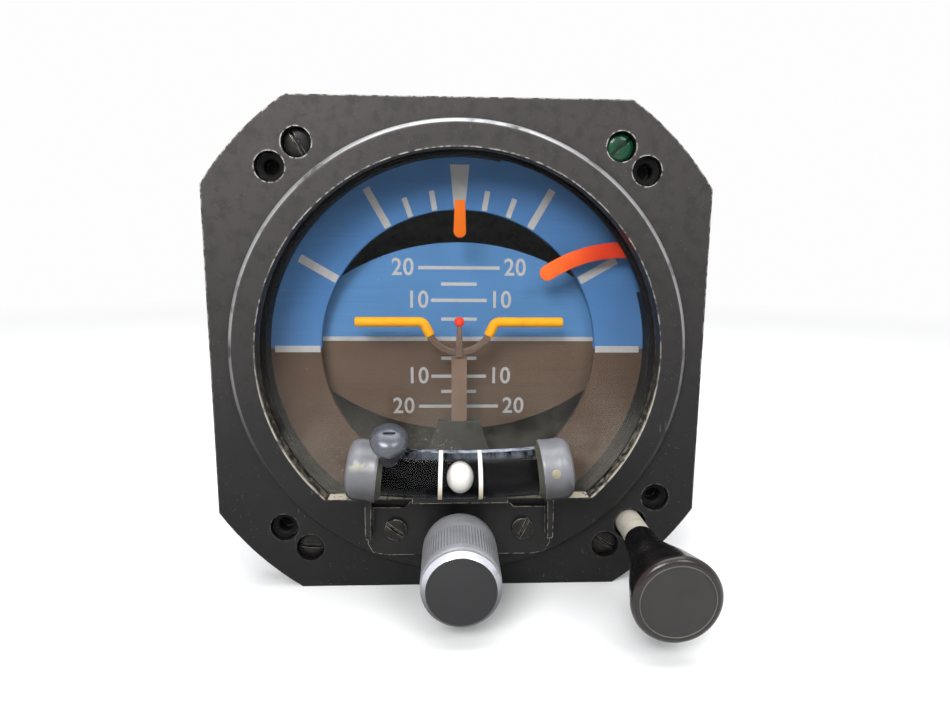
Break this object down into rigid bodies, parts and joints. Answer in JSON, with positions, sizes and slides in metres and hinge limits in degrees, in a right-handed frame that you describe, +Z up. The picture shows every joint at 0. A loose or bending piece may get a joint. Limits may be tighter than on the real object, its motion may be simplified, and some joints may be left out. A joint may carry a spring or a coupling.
{
  "type": "attitude indicator",
  "caption": "Panel attitude indicator with gyro-driven horizon dial, bank ring, slip ball, adjustable airplane symbol and pull-to-cage knob.",
  "frame": {"origin": "centre of the mounting bolt circle on the front face of the flange", "axes": "+X to the pilot's right, +Y from the panel into the instrument along the roll axis, +Z up"},
  "size_m": [0.0858, 0.203, 0.0858],
  "materials": {
    "flange_paint": "worn satin",
    "case_black": "crinkle matt",
    "dull_steel": "dull",
    "bright_steel": "satin",
    "clear_glass": "polished",
    "black_rubber": "matt",
    "mask_black": "matt",
    "index_orange": "satin",
    "cast_metal": "as cast",
    "connector_metal": "anodised",
    "insert_plastic": "matt",
    "dial_blue": "matt",
    "brass": "satin",
    "flag_red": "satin",
    "copper_coil": "varnished",
    "wing_yellow": "satin",
    "yoke_brown": "satin",
    "dot_red": "gloss",
    "knob_grey": "anodised",
    "knob_black": "gloss",
    "shaft_silver": "satin",
    "tube_glass": "polished",
    "ball_white": "gloss",
    "band_white": "satin",
    "cap_grey": "worn satin",
    "plug_metal": "dull",
    "bracket_black": "worn matt"
  },
  "bodies": {
    "case": {"bezel": "flange_paint", "case": "case_black", "bezel_screws": "dull_steel", "window_glass": "clear_glass", "window_gasket": "black_rubber", "mask_ring": "mask_black", "bank_index": "index_orange", "rear_plate": "cast_metal", "roll_bearings": "bright_steel", "rear_cover": "case_black", "rear_screws": "bright_steel", "connector_shell": "connector_metal", "connector_insert": "insert_plastic", "connector_screws": "bright_steel", "flag_pivot": "bright_steel", "flag_coil": "copper_coil", "airplane_guide": "mask_black", "caging_spring": "bright_steel", "inclinometer_tube": "tube_glass", "index_bands": "band_white", "end_caps": "cap_grey", "filler_plug": "plug_metal", "inclinometer_bracket": "bracket_black", "bracket_screws": "dull_steel"},
    "roll": {"bank_ring": "dial_blue", "roll_frame": "cast_metal", "roll_nut": "bright_steel", "gimbal_bushings": "brass", "dial_pivots": "bright_steel"},
    "gyro": {"gyro_housing": "cast_metal", "gyro_cap": "cast_metal", "gyro_stator": "dull_steel", "rotor_bearings": "bright_steel", "pitch_trunnions": "bright_steel", "dial_drive_arm": "brass", "balance_weight": "brass"},
    "rotor": {"gyro_rotor": "dull_steel", "rotor_shaft": "bright_steel"},
    "dial": {"pitch_dial": "dial_blue", "dial_arms": "cast_metal"},
    "flag": {"power_flag": "flag_red"},
    "airplane": {"airplane_wings": "wing_yellow", "airplane_yoke": "yoke_brown", "airplane_dot": "dot_red", "airplane_strip": "yoke_brown"},
    "adjuster": {"adjust_knob": "knob_grey", "adjust_shaft": "bright_steel"},
    "caging": {"caging_knob": "knob_black", "caging_shaft": "shaft_silver", "caging_ring": "cast_metal"},
    "ball": {"inclinometer_ball": "ball_white"}
  },
  "joints": [
    {"name": "roll_turn", "type": "hinge", "parent": "case", "child": "roll", "pos_m": [0, 0.06, 0], "axis": [0, 1, 0], "continuous": true},
    {"name": "gyro_pitch", "type": "hinge", "parent": "roll", "child": "gyro", "pos_m": [0, 0.058, 0], "axis": [1, 0, 0], "range_deg": [-20, 20]},
    {"name": "dial_pitch", "type": "hinge", "parent": "roll", "child": "dial", "pos_m": [0, 0.095, 0], "axis": [1, 0, 0], "range_deg": [-8.8, 8.8]},
    {"name": "rotor_spin", "type": "hinge", "parent": "gyro", "child": "rotor", "pos_m": [0, 0.058, 0], "axis": [0, 0, 1], "continuous": true},
    {"name": "flag_swing", "type": "hinge", "parent": "case", "child": "flag", "pos_m": [0.034, 0.005, 0.024], "axis": [0, 1, 0], "range_deg": [0, 55], "stiffness_Nm_per_rad": 0.0005, "springref_deg": -20.05},
    {"name": "airplane_lift", "type": "slide", "parent": "case", "child": "airplane", "axis": [0, 0, 1], "range_m": [-0.00196, 0.00196]},
    {"name": "adjuster_turn", "type": "hinge", "parent": "case", "child": "adjuster", "pos_m": [0, 0, -0.033], "axis": [0, 1, 0], "range_deg": [-45, 45]},
    {"name": "caging_pull", "type": "slide", "parent": "case", "child": "caging", "axis": [0, -1, 0], "range_m": [0, 0.008], "stiffness_N_per_m": 300, "springref_m": -0.005, "deforming": ["caging_spring"]},
    {"name": "ball_swing", "type": "hinge", "parent": "case", "child": "ball", "pos_m": [0, -0.007, 0.1158], "axis": [0, 1, 0], "range_deg": [-4.4, 4.4]}
  ],
  "couplings": [
    {"joint": "dial_pitch", "follows": "gyro_pitch", "ratio": 0.43939},
    {"joint": "adjuster_turn", "follows": "airplane_lift", "rad_per_m": -400}
  ]
}
